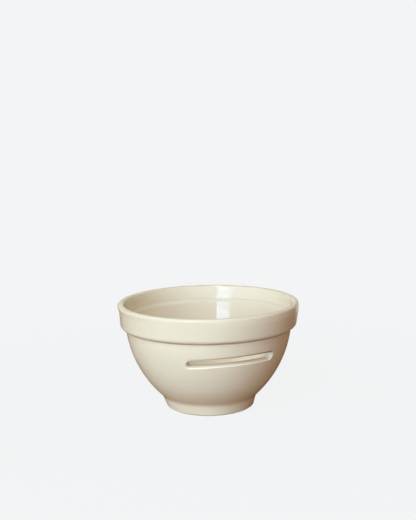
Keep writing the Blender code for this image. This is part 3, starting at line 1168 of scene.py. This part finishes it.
# %% [markdown]
# ## The surround
# A shiny pot shows the room that it stands in. Here that is a ring of cards round the table: warm and
# bright behind the camera and far at the left, brown between them, dark at the right and pale behind. An
# image of a room could light the bowl as well, but a few cards are easy to read and to change. They are
# one open cylinder with a colour ramp round it, hidden from the camera.

# %% Surround
SURROUND_RADIUS = 2.0
SURROUND_HEIGHT = 1.9
SURROUND_SIDES = 64
PALE_CARD = (0.80, 0.80, 0.60)
SURROUND_CARDS = [(-180, PALE_CARD), (-140, (1.00, 0.85, 0.65)), (-105, (0.95, 0.60, 0.45)),
                  (-75, (0.60, 0.25, 0.25)), (-15, (1.15, 0.65, 0.55)), (45, (0.45, 0.15, 0.10)),
                  (75, (0.25, 0.10, 0.05)), (105, (0.25, 0.20, 0.15)), (135, (0.50, 0.60, 0.55)),
                  (180, PALE_CARD)]


def surround_material():
    """Emission that changes round the table, by azimuth from the camera in degrees."""
    material, tree = empty_material("surround_cards")
    turn = add_node(tree, "ShaderNodeTexGradient", gradient_type="RADIAL")
    feed(tree, add_node(tree, "ShaderNodeTexCoord").outputs["Object"], turn.inputs["Vector"])
    ramp = add_node(tree, "ShaderNodeValToRGB")
    feed(tree, turn.outputs["Fac"], ramp.inputs["Fac"])
    stops = ramp.color_ramp.elements
    while len(stops) < len(SURROUND_CARDS):
        stops.new(1.0)
    for stop, (azimuth, colour) in zip(stops, SURROUND_CARDS):
        stop.position = 0.5 + azimuth / 360
        stop.color = (*colour, 1.0)
    shown(tree, coloured(tree, "ShaderNodeEmission", ramp.outputs["Color"]))
    return material


bpy.ops.mesh.primitive_cylinder_add(vertices=SURROUND_SIDES, radius=SURROUND_RADIUS, depth=SURROUND_HEIGHT,
                                    end_fill_type="NOTHING", location=(0, 0, SURROUND_HEIGHT / 2),
                                    rotation=(0, 0, CAMERA_AZIMUTH - math.pi / 2))
surround = bpy.context.object
surround.name = "surround"
surround.visible_camera = False
surround.data.materials.append(surround_material())
surround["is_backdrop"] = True
print(f"surround of {len(SURROUND_CARDS) - 1} cards, {SURROUND_RADIUS:.1f} m away")

# %% [markdown]
# ## The softbox and its mirror image
# One tall softbox at the left of the camera lights the bowl, and the glaze shows it as a bright bent bar.
# A single lamp could do both. Here the light and its image are set apart, so that the image can be placed
# to the pixel while the shading stays: the softbox lights but isn't mirrored, and four cards in its place
# are mirrored but light nothing, three of them stacked and a faint one beside. The fill lamps aren't
# mirrored either: a warm bounce from the right, a dim card overhead and a low card below the softbox.

# %% Lamps
KEY_COLOUR = (0.75, 1.0, 1.09)
GLARE_COLOUR = (0.75, 1.0, 1.6)
BOUNCE_COLOUR = (1.0, 0.75, 0.53)
CEILING_COLOUR = (1.0, 0.95, 0.85)
LOW_COLOUR = (0.47, 1.0, 1.45)
GLARE_DISTANCE = 1.1
GLARE_WIDTH = 0.36


def area_lamp(name, turn, lift, distance, width, tall, power, colour, roll=0.0, target=BOWL_MIDDLE):
    """An area lamp that faces a target, placed by degrees from the camera and by metres."""
    data = bpy.data.lights.new(name, "AREA")
    data.shape = "RECTANGLE"
    data.size = width
    data.size_y = tall
    data.energy = power
    data.color = colour
    lamp = bpy.data.objects.new(name, data)
    bpy.context.scene.collection.objects.link(lamp)
    place = around(math.radians(turn), math.radians(lift), distance) + target - BOWL_MIDDLE
    lamp.matrix_world = facing(place, target, math.radians(roll))
    lamp.visible_camera = False
    return lamp


SOFTBOX = ("softbox", -24, 28, 1.1, 0.44, 0.95, 10.75, KEY_COLOUR)
GLARE_CARDS = [("glare_low", -23.6, 9.5, GLARE_WIDTH, 0.34, 2.5, 0),
               ("glare_middle", -23.6, 23, GLARE_WIDTH, 0.19, 2.35, 4),
               ("glare_high", -18.5, 35, GLARE_WIDTH, 0.27, 5.0, 22),
               ("glare_side", -35.8, 14, 0.092, 0.40, 0.3, 5)]
FILL_LAMPS = [("warm_bounce", 112, 55, 1.2, 0.5, 0.5, 2.25, BOUNCE_COLOUR),
              ("ceiling_card", 60, 85, 1.2, 0.5, 0.5, 0.4, CEILING_COLOUR),
              ("low_card", -24, 7, 1.2, 0.5, 0.14, 1.95, LOW_COLOUR)]
area_lamp(*SOFTBOX).visible_glossy = False
for name, turn, lift, width, tall, power, roll in GLARE_CARDS:
    glare = area_lamp(name, turn, lift, GLARE_DISTANCE, width, tall, power, GLARE_COLOUR, roll)
    glare.visible_diffuse = False
for settings in FILL_LAMPS:
    area_lamp(*settings).visible_glossy = False
print("lamps:", ", ".join(lamp.name for lamp in bpy.data.lights))

# %% [markdown]
# ## Light through the mouth
# Through the slot shows the low inside wall across the bowl, with a patch of light on it that came in over
# the rim. The softbox can't reach so low. A brighter spot painted on the wall would look wrong from above,
# so a narrow lamp with a small spread shines in through the mouth, rolled so that its patch of light lies
# along the slot.

# %% Strip of light inside
INSIDE_STRIP = ("inside_strip", -60, 50, 0.35, 0.046, 0.009, 0.0008)
INSIDE_COLOUR = (1.0, 0.77, 0.73)
INSIDE_ROLL = -44
INSIDE_SPREAD = math.radians(4)
INSIDE_TURN = CAMERA_AZIMUTH + math.radians(149)
INSIDE_REACH = 30.0 * MM
INSIDE_HEIGHT = 22.5 * MM

inside_target = Vector((INSIDE_REACH * math.sin(INSIDE_TURN), -INSIDE_REACH * math.cos(INSIDE_TURN),
                        INSIDE_HEIGHT))
inside_strip = area_lamp(*INSIDE_STRIP, INSIDE_COLOUR, INSIDE_ROLL, inside_target)
inside_strip.data.spread = INSIDE_SPREAD
inside_strip.visible_glossy = False
print(f"{inside_strip.name} falls on the inside {1000 * INSIDE_HEIGHT:.1f} mm up")

# %% [markdown]
# ## The world
# Past the floor and the cards there is nothing but the pale backdrop. A world that shone with it would
# wash out the shading, so it is pale where it is seen or mirrored, and dark for the light on the bowl.
# The Standard view keeps every colour on screen as it is written here.

# %% World and view


def studio_world():
    """Pale where it is seen or mirrored, and no light of its own."""
    world = bpy.data.worlds.new("studio")
    world.use_nodes = True
    tree = world.node_tree
    tree.nodes.clear()
    pale = add_node(tree, "ShaderNodeBackground")
    feed(tree, BACKGROUND, pale.inputs["Color"])
    feed(tree, calculate(tree, "MAXIMUM", *ray_kinds(tree)), pale.inputs["Strength"])
    shown(tree, pale.outputs[0], "ShaderNodeOutputWorld")
    return world


bpy.context.scene.world = studio_world()
bpy.context.scene.view_settings.view_transform = "Standard"
print("world:", bpy.context.scene.world.name)

# %% [markdown]
# ## Sizes
# The last cell prints the box of the imported model beside the box of the dressed one, to show that the
# looks have not changed the size.

# %% Sizes
visual_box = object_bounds()
boxes = {"cad": cad_box, "visual": visual_box}
for name, (low, high) in boxes.items():
    print(name, "box", " x ".join(f"{1000 * (b - a):.2f}" for a, b in zip(low, high)), "mm")
